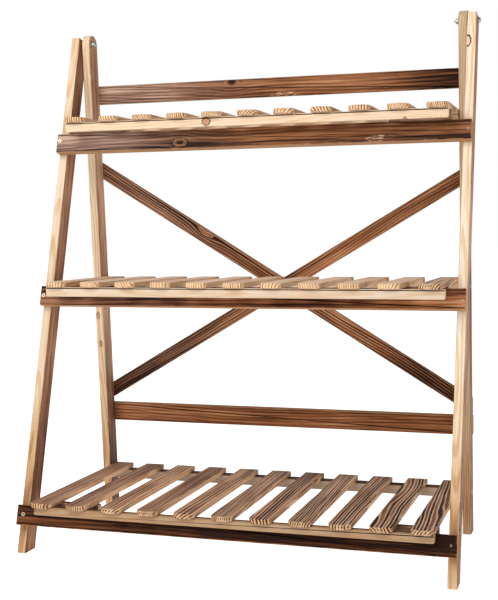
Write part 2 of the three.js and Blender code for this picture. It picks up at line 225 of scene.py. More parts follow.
def timber(name, toasted, planed, sawn, ring_weight, streak_weight, blotch_weight, roughness, shade_and_soil=0.0,
           bare=(0.66, 0.46, 0.30), flake=(0.66, 0.46, 0.30)):
    """Torched and brushed pine. toasted holds five colours from barely singed to charred, for the burnt
    faces; planed and sawn run from pale to dark, for the planed faces and the end grain; bare and flake are
    the colours of a rubbed arris and of wood laid open. The rings are cylinders round the log's heart: a
    point's ring is its distance from the heart over the ring's width, and each ring darkens towards its outer
    side. Round a knot the grain parts: its place across is pushed out by a share that falls with distance.
    Noise frequencies are per metre."""
    material = bpy.data.materials.new(name)
    material.use_nodes = True
    nodes, links = material.node_tree.nodes, material.node_tree.links
    shader = nodes["Principled BSDF"]

    def add(kind, **settings):
        node = nodes.new(kind)
        for key, value in settings.items():
            setattr(node, key, value)
        return node

    def feed(socket, value):
        if isinstance(value, bpy.types.NodeSocket):
            links.new(value, socket)
        else:
            socket.default_value = (*value, 1) if isinstance(value, tuple) else value

    def feed_all(node, *values):
        for socket, value in zip(node.inputs, values):
            feed(socket, value)
        return node.outputs[0]

    def maths(operation, *inputs, clamp=False):
        return feed_all(add("ShaderNodeMath", operation=operation, use_clamp=clamp), *inputs)

    def plus(*terms, clamp=False):
        total = terms[0]
        for k, term in enumerate(terms[1:]):
            total = maths("ADD", total, term, clamp=clamp and k == len(terms) - 2)
        return total

    def minus(first, second):
        return maths("SUBTRACT", first, second)

    def times(*factors):
        product = factors[0]
        for factor in factors[1:]:
            product = maths("MULTIPLY", product, factor)
        return product

    def length_of(a, b, floor=0.0):
        return maths("SQRT", plus(times(a, a), times(b, b), *([floor] if floor else [])))

    def split(attribute):
        node = add("ShaderNodeSeparateXYZ")
        links.new(add("ShaderNodeAttribute", attribute_name=attribute).outputs["Vector"], node.inputs[0])
        return node.outputs

    def noise(x, y, z, detail=2.0, rough=0.55):
        node = add("ShaderNodeTexNoise", noise_dimensions="3D")
        links.new(feed_all(add("ShaderNodeCombineXYZ"), x, y, z), node.inputs["Vector"])
        node.inputs["Scale"].default_value = 1.0
        node.inputs["Detail"].default_value = detail
        node.inputs["Roughness"].default_value = rough
        return node.outputs["Fac"]

    def window(value, low, high, to_low=0.0, to_high=1.0):
        node = add("ShaderNodeMapRange", interpolation_type="SMOOTHSTEP")
        return feed_all(node, value, low, high, to_low, to_high)

    def between(value, rise_from, rise_to, fall_from, fall_to):
        return times(window(value, rise_from, rise_to), window(value, fall_from, fall_to, 1.0, 0.0))

    def spread(value, width, level=0.5):
        return times(plus(value, -level), width)

    def mixed(share, first, second):
        node = add("ShaderNodeMix", data_type="FLOAT")
        for index, value in ((0, share), (2, first), (3, second)):
            feed(node.inputs[index], value)
        return node.outputs[0]

    def blend(share, first, second):
        node = add("ShaderNodeMix", data_type="RGBA")
        for index, value in ((0, share), (6, first), (7, second)):
            feed(node.inputs[index], value)
        return node.outputs[2]

    def ramp(share, colours):
        node = add("ShaderNodeValToRGB")
        stops = node.color_ramp.elements
        while len(stops) < len(colours):
            stops.new(0.5)
        for k, colour in enumerate(colours):
            stops[k].position = k / (len(colours) - 1)
            stops[k].color = (*colour, 1)
        links.new(share, node.inputs[0])
        return node.outputs[0]

    u, v, t = split("grain")
    is_singed, is_sawn, is_worn = split("face")
    seed, ring_strength, ring_width = split("board")
    heart_offset, heart_depth, heart_drift = split("heart")
    burn_left, burn_middle, burn_right = split("burn")
    shade, warmth, smoke_and_sheen = split("tint")

    def grain_noise(along, across, detail=2.0, rough=0.55):
        return noise(times(u, along), times(v, across), plus(seed, times(t, across)), detail, rough)

    # knots: a negative radius puts the knot on the board's edge, where the place across is measured through
    # the board
    pushed_v, pushed_t = v, t
    reaches = []
    for attribute in ("knot_a", "knot_b"):
        knot_u, knot_c, knot_r = split(attribute)
        on_edge = maths("LESS_THAN", knot_r, 0.0)
        aside = minus(mixed(on_edge, v, t), knot_c)
        stretched = mixed(maths("MAXIMUM", on_edge, is_singed), 1.0, 0.55)
        apart = length_of(times(minus(u, knot_u), stretched), aside, floor=1e-8)
        reach = maths("DIVIDE", apart, maths("ABSOLUTE", knot_r))
        push = maths("DIVIDE", times(aside, 1.8), plus(times(reach, reach), 0.75))
        pushed_v = minus(pushed_v, times(push, minus(1.0, on_edge)))
        pushed_t = minus(pushed_t, times(push, on_edge))
        reaches.append(reach)
    reach = times(maths("MINIMUM", *reaches), plus(0.55, times(grain_noise(190.0, 190.0), 0.9)))

    # growth rings round the heart, which wanders beside the board and under it
    wander = spread(noise(times(u, 1.6), seed, 7.0, 1.0), 0.055)
    sink = spread(noise(times(u, 2.1), seed, 17.0, 1.0), 0.040)
    off = minus(pushed_v, plus(heart_offset, wander))
    under = plus(pushed_t, heart_depth, times(heart_drift, u), sink)
    ripple = spread(grain_noise(9.0, 34.0), 0.9)
    phase = plus(maths("DIVIDE", length_of(off, under), ring_width), ripple, seed)
    within = maths("FRACT", phase)
    one_ring = add("ShaderNodeTexWhiteNoise", noise_dimensions="1D")
    links.new(plus(maths("FLOOR", phase), 0.5), one_ring.inputs["W"])
    weight = window(one_ring.outputs["Value"], 0.0, 1.0, 0.35, 1.0)
    late_from = minus(0.52, times(ring_strength, 0.42))
    late = between(within, late_from, plus(late_from, 0.34), 0.92, 1.0)
    line = times(late, weight)
    fibres = window(grain_noise(11.0, 520.0, rough=0.6), 0.3, 0.7)
    streaks = window(grain_noise(3.0, 150.0), 0.32, 0.68)
    blotches = window(noise(times(u, 5.5), times(v, 22.0), plus(seed, 5.0), 3.0), 0.32, 0.68)

    # torched faces: the burn passes from the middle to the ends, and the grain adds to it and takes from it;
    # the band adds to it across the board, a painted shadow under the battens on the lower and middle front
    # rails
    middle_ends_at, ends_begin_at = 0.16, 0.44
    off_middle = window(maths("ABSOLUTE", u), middle_ends_at, ends_begin_at)
    end_burn = mixed(maths("GREATER_THAN", u, 0.0), burn_left, burn_right)
    band_darkening, band_from, band_to = split("band")
    burn = plus(mixed(off_middle, burn_middle, end_burn), times(window(v, band_from, band_to), band_darkening))
    mean_line, fibre_weight = 0.36, 0.16
    amount = plus(
        burn,
        times(plus(line, -mean_line), ring_strength, ring_weight),
        spread(streaks, streak_weight),
        spread(blotches, blotch_weight),
        spread(fibres, fibre_weight),
        clamp=True,
    )

    # smoke greys the wood all over where it is positive; where it is negative, a painted sheen greys it only
    # from the left end to the middle
    greyed = add("ShaderNodeHueSaturation")
    everywhere = maths("GREATER_THAN", smoke_and_sheen, 0.0)
    smoke_and_sheen_share = times(maths("ABSOLUTE", smoke_and_sheen), maths("MAXIMUM", everywhere, window(u, -0.34, 0.02, 1.0, 0.0)))
    links.new(minus(1.0, times(smoke_and_sheen_share, 0.5)), greyed.inputs["Saturation"])
    links.new(ramp(amount, toasted), greyed.inputs["Color"])
    wide = greyed.outputs[0]

    # planed faces, darkened towards the floor by the object's own z: painted shade where the light falls off
    # near the floor, with some soil
    height = add("ShaderNodeSeparateXYZ")
    links.new(add("ShaderNodeTexCoord").outputs["Object"], height.inputs[0])
    darkest_below, undarkened_above = 0.015, 0.42
    shade_and_soil_share = window(height.outputs[2], darkest_below, undarkened_above, shade_and_soil, 0.0)
    planed_dark = plus(
        times(late, ring_strength, 0.55),
        spread(fibres, 0.24, 0.2),
        spread(blotches, 0.13, 0.4),
        shade_and_soil_share,
        clamp=True,
    )
    narrow = ramp(planed_dark, planed)

    # end grain: the same rings, darker where the board has strong rings or was burnt
    cut = between(within, 0.38, 0.56, 0.90, 1.0)
    cut_dark = times(cut, mixed(ring_strength, 0.26, 0.70))
    end = ramp(plus(cut_dark, times(burn_middle, 0.45), spread(streaks, 0.2), -0.06, clamp=True), sawn)

    colour = blend(is_singed, narrow, wide)
    colour = blend(is_sawn, colour, end)
    rubbed = window(noise(times(u, 26.0), times(v, 60.0), seed, 3.0), 0.46, 0.60)
    colour = blend(times(rubbed, is_worn, 0.6), colour, bare)

    # pale flakes, where the charred skin has broken off
    flake_u, flake_v, flake_reach = split("flakes")
    apart = length_of(times(minus(u, flake_u), 0.30), minus(v, flake_v))
    near_flakes = window(maths("DIVIDE", apart, flake_reach), 0.6, 1.0, 0.8, 0.0)
    chips = window(noise(times(u, 75.0), times(v, 420.0), seed, 3.0), 0.555, 0.585)
    colour = blend(times(chips, near_flakes), colour, flake)

    # the knot: on planed faces brown rings in a dark outline; on torched ones a scorched edge, and a charred
    # core if the burn was hot; where its radius says bark, a pale chip in a black outline
    bark_from, charred = 0.005, toasted[-1]
    swirl = window(maths("FRACT", plus(times(reach, 2.6), times(fibres, 0.25))), 0.15, 0.9)
    bark = maths("LESS_THAN", split("knot_a")[2], -bark_from)
    knot_wood = ramp(plus(0.22, times(swirl, 0.34), times(is_singed, 0.10), times(bark, -0.30)), toasted)
    colour = blend(times(window(reach, 0.70, 1.05, 1.0, 0.0), mixed(is_singed, 0.9, 0.55)), colour, knot_wood)
    outline_weight = mixed(is_singed, plus(0.8, times(bark, 0.18)), 0.25)
    colour = blend(times(between(reach, 0.70, 0.94, 1.00, 1.34), outline_weight), colour, charred)
    core = times(window(reach, 0.36, 0.62, 0.95, 0.0), is_singed, window(burn_middle, 0.60, 0.66))
    colour = blend(core, colour, charred)

    tone = add("ShaderNodeVectorMath", operation="MULTIPLY")
    feed_all(tone, colour, blend(warmth, (1.0, 1.0, 1.0), (1.18, 0.93, 0.68)))
    scaled = add("ShaderNodeVectorMath", operation="SCALE")
    links.new(tone.outputs[0], scaled.inputs[0])
    links.new(shade, scaled.inputs["Scale"])
    links.new(scaled.outputs[0], shader.inputs["Base Color"])
    links.new(window(fibres, 0.0, 1.0, roughness - 0.08, roughness + 0.16), shader.inputs["Roughness"])
    shader.inputs["Specular IOR Level"].default_value = 0.09
    bump = add("ShaderNodeBump")
    bump.inputs["Strength"].default_value = 0.6
    bump.inputs["Distance"].default_value = 0.0006
    relief = plus(times(late, 0.7), times(fibres, 0.45), times(window(reach, 0.2, 0.5), 0.5))
    links.new(relief, bump.inputs["Height"])
    links.new(bump.outputs["Normal"], shader.inputs["Normal"])
    return material


def fit(piece, material, body, slot, *nodes):
    """Gives a piece its finish, lets it stand for its CAD nodes, if it has any, and sets it on its body."""
    piece.data.materials.append(material)
    if nodes:
        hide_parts(*nodes)
    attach(piece, body)


TOASTED = [
    (0.82, 0.57, 0.38), (0.62, 0.36, 0.20), (0.36, 0.155, 0.068),
    (0.150, 0.056, 0.022), (0.018, 0.006, 0.003),
]
leg_planed = [(0.74, 0.62, 0.49), (0.62, 0.43, 0.24), (0.45, 0.25, 0.12), (0.25, 0.12, 0.05)]
leg_sawn = [(0.66, 0.46, 0.27), (0.38, 0.20, 0.09)]
# the legs' planed faces darken towards the floor: painted shade of the light falling off there, with some
# soil
leg_wood = timber(
    "leg_pine", TOASTED, leg_planed, leg_sawn, ring_weight=0.35, streak_weight=0.22, blotch_weight=0.25,
    roughness=0.5, shade_and_soil=0.50, flake=leg_planed[0],
)
rear = leaning(REAR_LEAN)
rear_leg_middle, top_radius = REAR_LEG_FRONT + LEG_DEPTH / 2, LEG_DEPTH / 2

# the outline: the arc of the top, then down the back, along the foot and up the front, by angle round a point
# inside
top_turn = np.linspace(0, math.pi, 33)[1:-1]
inside_box = 0.00001
top = [np.sin(top_turn) * (top_radius - inside_box), rear_leg_middle - np.cos(top_turn) * top_radius]
foot = rounded(
    [
        [up_ladder(0, REAR_LEG_BACK, REAR_LEAN), REAR_LEG_BACK],
        [0, REAR_LEG_BACK],
        [0, REAR_LEG_FRONT],
        [up_ladder(0, REAR_LEG_FRONT, REAR_LEAN), REAR_LEG_FRONT],
    ],
    0.0012,
)
foot = foot[foot[:, 0] < -0.004]
foot = foot[np.argsort(np.arctan2(foot[:, 1] - rear_leg_middle, foot[:, 0] + 0.5) % (2 * math.pi))]
rear_leg_outline = np.concatenate([[[0, REAR_LEG_FRONT]], np.stack(top, 1), [[0, REAR_LEG_BACK]], foot])
rear_foot_below = -1.1
rear_legs = {
    "left": dict(seed=3.1, burn=(0.74, 0.40, 0.44), tint=(1.0, 0.1, 0.25),
                 knots=((-0.078, 0.006, -0.0038), (-0.146, 0.010, -0.0034))),
    # the right leg's low shade is painted shade: its front stands in the front leg's shadow
    "right": dict(seed=8.7, burn=(0.60, 0.62, 0.6), tint=(0.72, 0.3, 0.1)),
}
for side, kind in rear_legs.items():
    x0 = -REAR_LEG_OUTER if side == "left" else REAR_LEG_OUTER - LEG_THICKNESS
    leg = board(
        f"rear_leg_{side}_board", rear_leg_outline, LEG_THICKNESS, lambda u, v, t: rear(x0 + t, v, u),
        ends=lambda o: o[:, 0] < rear_foot_below, centre=(LEG_MIDDLE, 0), rings=0.45, **kind,
    )
    fit(leg, leg_wood, "rear_frame", "planed_wood", f"rear_leg_{side}")

# ---------- front legs ----------
# Two boards of the same stock, cut level at the foot and square at the top. The hinge bolt passes through
# them. The right one has a patch of bark on the arris of its front edge.
FRONT_LEAN = math.radians(15.3)
FRONT_LEG_FACE = -0.026
FRONT_LEG_BACK = FRONT_LEG_FACE + LEG_DEPTH
FRONT_LEG_TOP = 0.008
HALF_WIDTH = 0.465
END_REACH = 0.0004


def sawn_at(low, high, low_reach=END_REACH):
    """Says which outline points lie on the two sawn ends: within reach of the least and the greatest place
    along."""
    return lambda o: (o[:, 0] < low + low_reach) | (o[:, 0] > high - END_REACH)


front = leaning(FRONT_LEAN)
front_leg_outline = rounded(
    [
        [up_ladder(0, FRONT_LEG_FACE, FRONT_LEAN), FRONT_LEG_FACE],
        [FRONT_LEG_TOP, FRONT_LEG_FACE],
        [FRONT_LEG_TOP, FRONT_LEG_BACK],
        [up_ladder(0, FRONT_LEG_BACK, FRONT_LEAN), FRONT_LEG_BACK],
    ],
    0.0015,
)
front_foot_below = -1.12
front_legs = {
    "left": dict(seed=1.3, tint=(0.88, 0.2, 0.2)),
    "right": dict(seed=5.9, tint=(1.07, 0.0, 0.2), knots=((0.5035, 0.0022, -0.0065),)),
}
for side, kind in front_legs.items():
    x0 = -HALF_WIDTH if side == "left" else HALF_WIDTH - LEG_THICKNESS
    leg = board(
        f"front_leg_{side}_board", front_leg_outline, LEG_THICKNESS, lambda u, v, t: front(x0 + t, v, u),
        ends=sawn_at(front_foot_below, FRONT_LEG_TOP), centre=(LEG_MIDDLE, 0), rings=0.40,
        burn=(0.62, 0.49, 0.58), heart=(-0.05, -0.004, 0.012), **kind,
    )
    fit(leg, leg_wood, "front_frame", "planed_wood", f"front_leg_{side}")

# ---------- front rails ----------
# Three smooth pine boards screwed across the front legs, which the shelves lie on. The right end is burnt
# darkest on the lower one and least on the middle one; the lower one's dark burn and low shade are partly
# painted shade of the shelf above it. The lower and middle ones darken upwards, a painted shadow under their
# battens; the upper one darkens downwards, where flakes are off. All are greyed towards the left end, a
# painted sheen.
RAIL_THICKNESS, RAIL_HEIGHT = 0.019, 0.043
SEAT = 0.0003  # the play between boards that are screwed together
BOARD_ARRIS = 0.0012


def oblong(x0, x1, y0, y1, radius):
    """An upright oblong with rounded corners, from its lower left corner round."""
    return rounded([[x0, y0], [x1, y0], [x1, y1], [x0, y1]], radius)


rail_wood = timber(
    "rail_pine", TOASTED,
    planed=[(0.42, 0.24, 0.12), (0.30, 0.15, 0.07), (0.16, 0.07, 0.03), (0.05, 0.022, 0.010)],
    sawn=[(0.62, 0.42, 0.22), (0.22, 0.11, 0.05)],
    ring_weight=0.50, streak_weight=0.24, blotch_weight=0.15, roughness=0.52, bare=(0.40, 0.21, 0.10),
)
front_rail_heights = {"lower": 0.057, "middle": 0.517, "upper": 0.857}
# the bands on the lower and middle rails are painted shadow under the battens; the left-end greying is
# painted sheen
front_rails = {
    "lower": dict(heart=(-0.045, 0.03, 0.02), burn=(0.80, 0.93, 1.07), tint=(0.78, 1.0, -0.1),
                  band=(0.22, 0.012, 0.034)),
    "middle": dict(heart=(0.085, 0.03, 0.02), burn=(0.72, 0.86, 0.50), tint=(1.0, 0.4, -0.3),
                   band=(0.24, 0.014, 0.034)),
    "upper": dict(heart=(-0.024, 0.03, 0.02), burn=(0.72, 0.90, 0.96), tint=(1.0, 0.15, -0.7),
                  band=(-0.22, 0.004, 0.022), knots=((-0.166, 0.013, 0.0100), (0.30, 0.010, 0.0035)),
                  flakes=(0.27, 0.008, 0.009)),
}
rail_outline = oblong(-HALF_WIDTH, HALF_WIDTH, 0, RAIL_HEIGHT, BOARD_ARRIS)
rail_face = FRONT_LEG_FACE - SEAT - RAIL_THICKNESS
for index, (tier, kind) in enumerate(front_rails.items()):
    z0 = up_ladder(front_rail_heights[tier], FRONT_LEG_FACE, FRONT_LEAN)
    rail = board(
        f"front_rail_{tier}_board", rail_outline, RAIL_THICKNESS,
        lambda u, v, t: front(u, rail_face + t, z0 + v), ends=sawn_at(-HALF_WIDTH, HALF_WIDTH), centre=(0, 0),
        seed=11.3 + 2.9 * index, rings=0.34, ring_width=0.0074, **kind,
    )
    fit(rail, rail_wood, "front_frame", "torched_wood", f"front_rail_{tier}")

# ---------- back rails ----------
# Two boards of the front rails' stock, screwed across the backs of the rear legs, one high and one low. The
# upper one is burnt darkest at its right end, has a knot at its upper edge and has lost flakes along its
# lower one.
back_rail_heights = {"lower": 0.219, "upper": hinge_z - 0.135}
# the upper back rail's left end is greyed, a painted sheen
back_rails = {
    "lower": dict(burn=(0.62, 0.62, 0.64), tint=(1.0, 0.3, 0.0)),
    "upper": dict(burn=(0.52, 0.66, 0.90), tint=(1.0, 0.1, -0.6),
                  knots=((-0.094, 0.037, 0.0120), (0.26, 0.010, 0.003)), flakes=(0.03, 0.002, 0.011)),
}
rail_outline = oblong(-REAR_LEG_OUTER, REAR_LEG_OUTER, 0, RAIL_HEIGHT, BOARD_ARRIS)
back_plane = REAR_LEG_BACK + SEAT
for index, (tier, kind) in enumerate(back_rails.items()):
    z0 = up_ladder(back_rail_heights[tier], REAR_LEG_BACK, REAR_LEAN)
    rail = board(
        f"back_rail_{tier}_board", rail_outline, RAIL_THICKNESS,
        lambda u, v, t: rear(u, back_plane + t, z0 + v), ends=sawn_at(-REAR_LEG_OUTER, REAR_LEG_OUTER),
        centre=(0, 0), seed=21.7 + 3.3 * index, rings=0.42, heart=(-0.035, 0.025, 0.02), ring_width=0.0066,
        **kind,
    )
    fit(rail, rail_wood, "rear_frame", "torched_wood", f"back_rail_{tier}")

# ---------- braces ----------
# Two thinner torched pine boards that cross behind the shelves, screwed to the backs of the rear legs and
# halved where they meet: the falling one keeps its front half there, the rising one its back half.
BRACE_THICKNESS, BRACE_HEIGHT = 0.012, 0.032
LAP_PLAY = 0.0003


def brace_line(left, right_end):
    """Centre line of a brace on the ladder: its height at mid width and its slope, from its heights at the
    legs."""
    inner = REAR_LEG_OUTER - LEG_THICKNESS
    z_left, z_right = (up_ladder(height, REAR_LEG_BACK, REAR_LEAN) for height in (left, right_end))
    return (z_left + z_right) / 2, math.atan((z_right - z_left) / (2 * inner))


def halved_brace(name, line, other, keeps_front, **grown):
    """A rounded section carried along the brace. Every station lies at u = a + b v, which slants it: b =
    tan(slope) at the upright ends, and b = 1 / tan(angle between the braces) at the lap, where the section is
    cut to half depth."""
    centre, slope = line
    angle = other[1] - slope
    crossing = (other[0] - centre) / (math.tan(slope) - math.tan(other[1])) / math.cos(slope)
    reach = abs((BRACE_HEIGHT / 2 + LAP_PLAY) / math.sin(angle))
    end = REAR_LEG_OUTER / math.cos(slope)
    upright, lap = math.tan(slope), 1 / math.tan(angle)
    whole = (0, 0, BRACE_THICKNESS)
    front_half = (0, 0, (BRACE_THICKNESS - SEAT) / 2)
    back_half = (0, (BRACE_THICKNESS + SEAT) / 2, BRACE_THICKNESS)
    halved = front_half if keeps_front else back_half
    chamfer, next_ring = 0.0009, 0.003
    run_from_end, run_from_lap, runs, upright_runs = 0.01, 0.03, 6, 2

    # stations from left to right: place along, slant, inset, lower and upper depth
    tip = [(0, chamfer), (chamfer, 0), (next_ring, 0)]
    along_left = np.linspace(-end + run_from_end, crossing - reach - run_from_lap, runs)
    along_right = np.linspace(crossing + reach + run_from_lap, end - run_from_end, runs)
    stations = [(-end + near, upright, inset, 0, BRACE_THICKNESS) for near, inset in tip]
    stations += [(a, upright if k < upright_runs else 0.0, *whole) for k, a in enumerate(along_left)]
    stations += [(crossing - reach, lap, *whole), (crossing - reach, lap, *halved), (crossing, lap, *halved)]
    stations += [(crossing + reach, lap, *halved), (crossing + reach, lap, *whole)]
    stations += [(a, upright if k >= runs - upright_runs else 0.0, *whole) for k, a in enumerate(along_right)]
    stations += [(end - near, upright, inset, 0, BRACE_THICKNESS) for near, inset in tip[::-1]]
    a, b, inset, low, high = np.array(stations).T

    h = BRACE_HEIGHT / 2
    section = rounded([[-h, 0], [h, 0], [h, BRACE_THICKNESS], [-h, BRACE_THICKNESS]], 0.0011)
    share = section[:, 1] / BRACE_THICKNESS
    v = section[None, :, 0] * (1 - inset[:, None] / h)
    t = low[:, None] + inset[:, None] + share[None] * (high - low - 2 * inset)[:, None]
    u = a[:, None] + b[:, None] * v
    x, z = u * math.cos(slope) - v * math.sin(slope), centre + u * math.sin(slope) + v * math.cos(slope)
    co = rear(x, back_plane + t, z).reshape(-1, 3)
    sawn = (inset > 0)[:, None]
    singed = 1 - 0.35 * (np.abs(section[:, 0]) > h - 0.0004)
    worn = (np.minimum(share, 1 - share) < 0.12) * (h - np.abs(section[:, 0]) < 0.0014)
    face = np.stack([np.broadcast_to(part, t.shape) for part in (singed, sawn, worn)], -1)
    kept = {"grain": np.stack([u, v, t], -1).reshape(-1, 3), "face": face.reshape(-1, 3), **growth(**grown)}
    return closed_piece(name, co, len(a), kept)


falling, rising = brace_line(0.825, 0.296), brace_line(0.297, 0.793)
falling_kind = dict(seed=31.9, burn=(0.64, 0.60, 0.81), knots=((-0.207, 0.0145, 0.0110),))
rising_kind = dict(seed=37.3, burn=(0.91, 0.64, 0.65))
braces = {"falling": (falling, rising, True, falling_kind), "rising": (rising, falling, False, rising_kind)}
# the braces are greyed towards their left ends, a painted sheen
for name, (line, other, keeps_front, kind) in braces.items():
    brace = halved_brace(
        f"brace_{name}_board", line, other, keeps_front, rings=1.0, tint=(1.0, 0.1, -0.3),
        heart=(-0.040, 0.015, 0.012), ring_width=0.0056, **kind,
    )
    fit(brace, rail_wood, "rear_frame", "torched_wood", f"brace_{name}")

# ---------- shelves ----------
# Each shelf is eleven torched pine slats with rounded fronts, screwed from below to a slim front batten, a
# deeper rear batten that turns on a pin in each rear leg, and two short blocks that lock it to its rail.
SLAT_WIDTH, SLAT_THICKNESS = 0.045, 0.011
SLAT_COUNT, SHELF_HALF_WIDTH = 11, 0.424
NOSE_DEPTH, NOSE_POWER = 0.017, 2.5
NOSE_SAWN = 0.0085
SLAT_ARRIS, NOSE_ROUNDER = 0.0012, (0.0036, 0.0012)  # the nose's lower and upper arris are that much rounder
slat_wood = timber(
    "slat_pine", TOASTED,
    planed=[(0.74, 0.51, 0.31), (0.56, 0.32, 0.16), (0.34, 0.16, 0.07), (0.12, 0.05, 0.025)],
    sawn=[(0.80, 0.57, 0.34), (0.42, 0.21, 0.09), (0.12, 0.045, 0.02), (0.03, 0.012, 0.006)],
    ring_weight=1.05, streak_weight=0.24, blotch_weight=0.16, roughness=0.5,
)
batten_wood = timber(
    "batten_pine", TOASTED,
    planed=[(0.75, 0.62, 0.49), (0.68, 0.49, 0.32), (0.46, 0.26, 0.12), (0.26, 0.13, 0.06)],
    sawn=[(0.80, 0.62, 0.40), (0.50, 0.30, 0.15)],
    ring_weight=0.35, streak_weight=0.2, blotch_weight=0.25, roughness=0.5,
)
# shade sets how dark each tier's battens are; its fall from the upper shelf to the lower one is painted shade
shelf_kinds = {
    "lower": dict(burn=lambda k: 0.56, rings=lambda k: 0.55 if k < 5 else 0.9,
                  shade=0.47, warmth=0.9, knots=()),
    "middle": dict(burn=lambda k: 0.09 if k < 10 else 0.34, rings=lambda k: 0.25 if k < 10 else 0.8,
                   shade=0.82, warmth=0.15, knots=()),
    "upper": dict(burn=lambda k: 0.24, rings=lambda k: 0.5,
                  shade=0.91, warmth=0.2, knots=((-0.0915, 0.0112, 0.0085), (0.336, 0.0005, 0.0034))),
}
half_slat = SLAT_WIDTH / 2


def slat_outline(x, y0, y1):
    """A slat from above (along, across) and how much rounder its arris is at each point. The nose is half a
    squared-off ellipse: (x / half width) to the power n plus (y / depth) to the power n is one."""
    turns = np.linspace(0, math.pi, 33)
    power = 2 / NOSE_POWER
    across = half_slat * np.sign(np.cos(turns)) * np.abs(np.cos(turns)) ** power
    nose = np.stack([y0 + NOSE_DEPTH * (1 - np.sin(turns) ** power), x + across], 1)
    tail = oblong(y0 + NOSE_DEPTH, y1, x - half_slat, x + half_slat, 0.001)
    tail = tail[tail[:, 0] > y0 + NOSE_DEPTH + 0.003]
    first = np.argmin(tail[:, 0] + 10 * (tail[:, 1] > x))
    rounder = np.concatenate([np.zeros(len(tail)), np.clip(2.5 * np.sin(turns), 0, 1)])
    return np.concatenate([np.roll(tail, -first, 0), nose]), rounder


for tier_index, (tier, kind) in enumerate(shelf_kinds.items()):
    body = f"shelf_{tier}"
    for index in range(SLAT_COUNT):
        node = f"slat_{tier}_{index + 1:02d}"
        low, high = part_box(node)
        x = (low.x + high.x) / 2
        outline, rounder = slat_outline(x, low.y, high.y)
        burn = kind["burn"](index) + 0.07 * math.sin(index * 2.4 + tier_index)
        drawn = np.random.default_rng(100 * tier_index + index)
        heart_offset = float(drawn.choice([-1, 1]) * drawn.uniform(0.022, 0.075))
        heart = (heart_offset, float(drawn.uniform(-0.006, 0.030)), float(drawn.uniform(-0.02, 0.02)))
        slat = board(
            f"{node}_board", outline, SLAT_THICKNESS, lambda u, v, t: np.stack([v, u, low.z + t], -1),
            ends=sawn_at(low.y, high.y, NOSE_SAWN), centre=(0, x),
            arris=SLAT_ARRIS + np.outer(NOSE_ROUNDER, rounder), edges=0.15,
            seed=41.3 + 1.7 * index + 23.1 * tier_index, rings=kind["rings"](index), burn=(burn,) * 3,
            tint=(1.0, 0.0, 0.2), heart=heart, ring_width=float(drawn.uniform(0.0040, 0.0064)),
        )
        fit(slat, slat_wood, body, "torched_wood", node)

    # the front batten's pale front shows, so it is carried from front to back; its lower corners are rounded
    node = f"front_batten_{tier}"
    low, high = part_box(node)
    outline = oblong(low.x, high.x, low.z, high.z, [0.0035, 0.0045, 0.0012, 0.0012])
    # its shade comes from the tier: painted shade on the lower shelf
    batten = board(
        f"{node}_board", outline, high.y - low.y, lambda u, v, t: np.stack([u, low.y + t, v], -1),
        ends=sawn_at(low.x, high.x), centre=(0, low.z), faces_planed=True, seed=71.9 + 3.1 * tier_index,
        rings=0.35, burn=(0.72,) * 3, tint=(kind["shade"], kind["warmth"], 0.1), knots=kind["knots"],
    )
    fit(batten, batten_wood, body, "planed_wood", node)
    # the rear batten takes the tier's shade too, painted shade on the lower shelf
    for node in (f"rear_batten_{tier}", f"lock_block_{tier}_left", f"lock_block_{tier}_right"):
        low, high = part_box(node)
        x0, x1 = max(low.x, -SHELF_HALF_WIDTH), min(high.x, SHELF_HALF_WIDTH)
        is_block = "block" in node
        batten = board(
            f"{node}_board", oblong(x0, x1, low.y, high.y, 0.001), high.z - low.z,
            lambda u, v, t: np.stack([u, v, low.z + t], -1), ends=sawn_at(x0, x1), centre=(0, low.y),
            edges=0.85 if is_block else 0.0, seed=74.3 + 3.1 * tier_index + len(node), rings=0.35,
            burn=(0.72,) * 3, tint=(0.75 if is_block else kind["shade"], 0.2, 0.1),
        )
        fit(batten, batten_wood, body, "torched_wood" if is_block else "planed_wood", node)

# ---------- pivot pins ----------
# Each rear batten turns on two zinc plated steel pins driven through the rear legs, with flat heads outside.
# They run from inside the batten's ends to the legs' outer faces.
PIN_START, PIN_RADIUS, PIN_HEAD = 0.400, 0.0025, 0.0042
AXIS_POINT = 0.0001  # the radius at which a profile ends on the axis


def square_to(axis):
    """The axis made one long, and two directions square to it and to each other."""
    axis = np.asarray(axis, float) / np.linalg.norm(axis)
    side_way = np.cross(axis, (0.0, 0.0, 1.0) if abs(axis[2]) < 0.9 else (1.0, 0.0, 0.0))
    side_way /= np.linalg.norm(side_way)
    return axis, side_way, np.cross(axis, side_way)


def turned(name, profile, centre, axis, steps=32, wave=None):
    """A turned piece: profile (distance along the axis, radius) carried round the axis, the two ends closed
    by flat caps. wave(along, angle) is added to the radius."""
    profile = np.asarray(profile, float)
    angle = np.linspace(0, 2 * math.pi, steps, endpoint=False)
    along = np.broadcast_to(profile[:, :1], (len(profile), steps))
    radius = np.broadcast_to(profile[:, 1:], (len(profile), steps))
    if wave is not None:
        radius = np.maximum(radius + wave(along, angle[None]) * (radius > AXIS_POINT), AXIS_POINT / 2)
    axis, side_way, third = square_to(axis)
    round_axis = np.cos(angle)[None, :, None] * side_way + np.sin(angle)[None, :, None] * third
    co = np.asarray(centre) + along[..., None] * axis + radius[..., None] * round_axis
    return closed_piece(name, co.reshape(-1, 3), len(profile), {})


